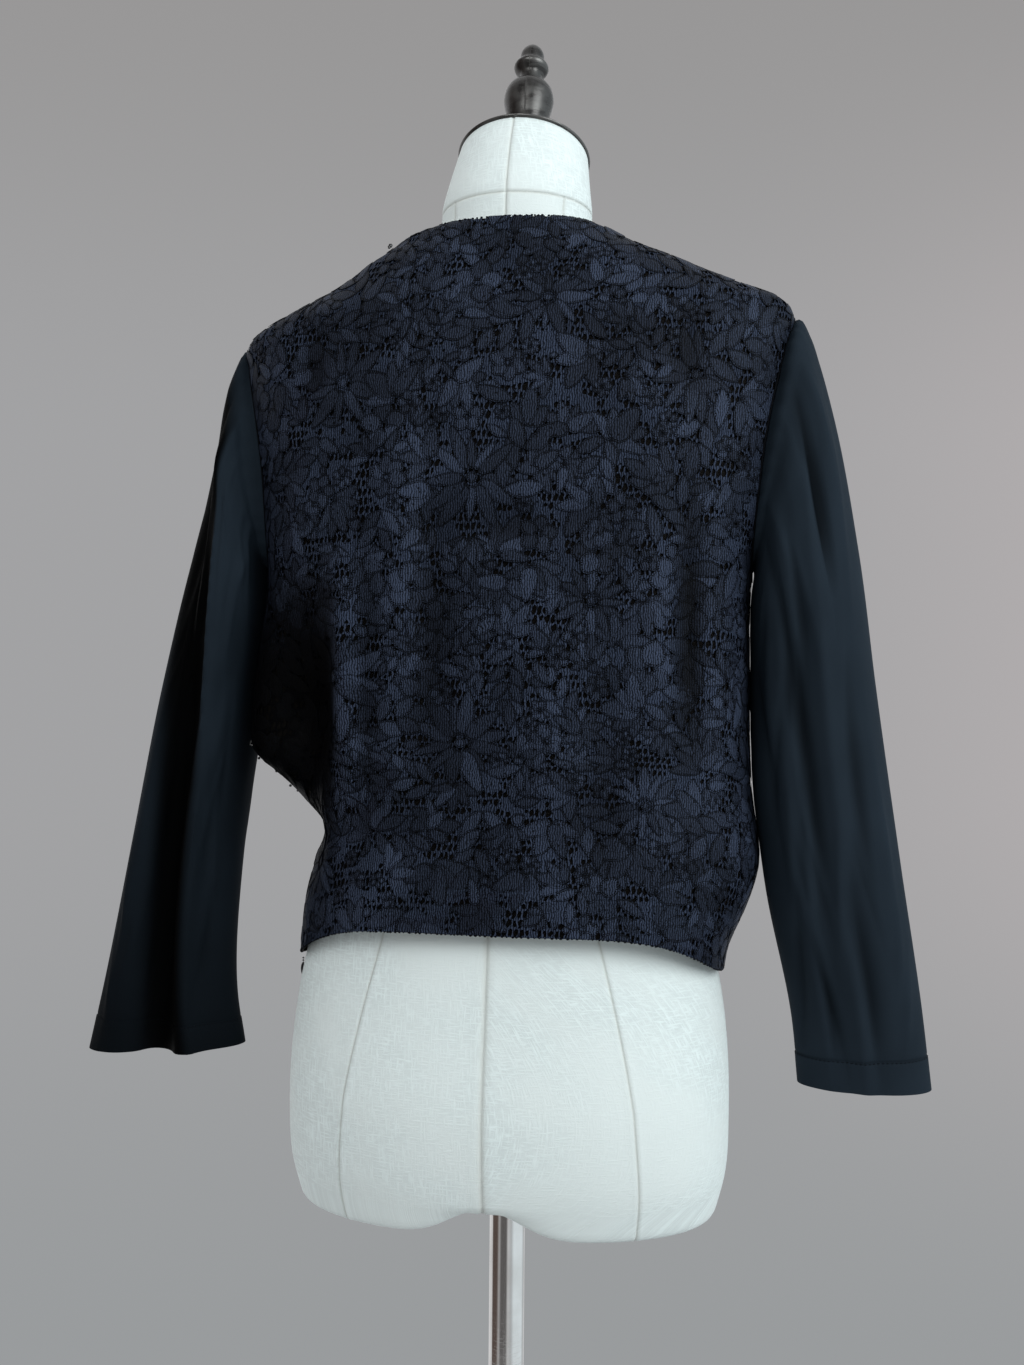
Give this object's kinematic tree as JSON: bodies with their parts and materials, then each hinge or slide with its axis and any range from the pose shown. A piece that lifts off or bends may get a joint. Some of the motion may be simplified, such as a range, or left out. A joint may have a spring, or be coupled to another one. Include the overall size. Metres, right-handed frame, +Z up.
{
  "type": "kebaya blouse on dress form",
  "caption": "Short black lace kebaya blouse with plain long set-in sleeves, open at the front, on a linen dress form with a finial, pole and round base.",
  "frame": {"origin": "centre of the underside of the stand's round base", "axes": "+Z up, +Y towards the wearer's back, +X towards the wearer's left"},
  "size_m": [0.6837, 0.38, 1.5928],
  "materials": {
    "black_lace": "matte",
    "black_lining": "satin",
    "black_crepe": "matte",
    "white_linen": "matte",
    "aged_pewter": "satin",
    "chrome": "polished"
  },
  "bodies": {
    "root": {"back_lace": "black_lace", "front_left_lace": "black_lace", "front_right_lace": "black_lace", "back_lining": "black_lining", "front_left_lining": "black_lining", "front_right_lining": "black_lining", "sleeve_left": "black_crepe", "sleeve_right": "black_crepe", "form_body": "white_linen", "neck_cap": "aged_pewter", "finial": "aged_pewter", "pole": "chrome", "base": "chrome"}
  },
  "joints": []
}
